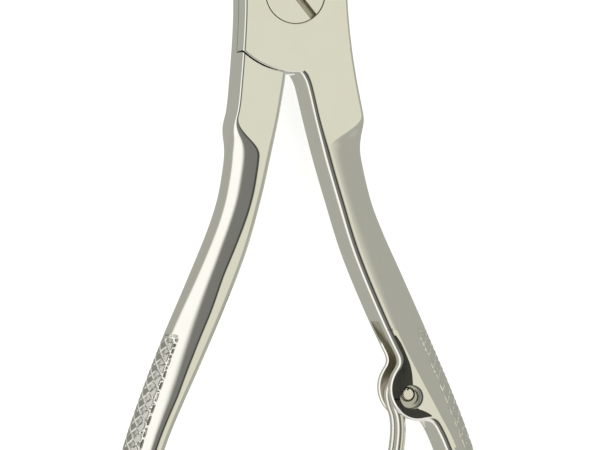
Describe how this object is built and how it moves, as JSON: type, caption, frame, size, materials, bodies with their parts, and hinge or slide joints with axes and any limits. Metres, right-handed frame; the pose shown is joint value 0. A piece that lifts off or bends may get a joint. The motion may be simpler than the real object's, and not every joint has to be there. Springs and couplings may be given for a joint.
{
  "type": "grozing pliers",
  "caption": "Flat grozing pliers for nibbling the edge of cut glass, with a flat and a curved jaw, a slotted pivot screw and a wire opening spring on a lug.",
  "frame": {"origin": "where the pivot axis meets the flat back of the tool", "axes": "+Y from the handles to the jaws, +Z through the thickness from the back to the screw head, +X towards the handle that carries the spring lug"},
  "size_m": [0.0842, 0.19, 0.011],
  "materials": {
    "plated_steel": "polished nickel plate on forged steel",
    "screw_steel": "polished nickel plate, ground flush",
    "pin_steel": "bright cut end",
    "spring_wire": "bright drawn wire"
  },
  "bodies": {
    "front_half": {"front_half": "plated_steel", "spring_pin": "pin_steel", "wire_spring": "spring_wire"},
    "rear_half": {"rear_half": "plated_steel", "pivot_screw": "screw_steel"}
  },
  "joints": [
    {"name": "pivot", "type": "hinge", "parent": "front_half", "child": "rear_half", "pos_m": [0, 0, 0], "axis": [0, 0, 1], "range_deg": [-12, 7.5], "stiffness_Nm_per_rad": 3, "deforming": ["wire_spring"]}
  ]
}
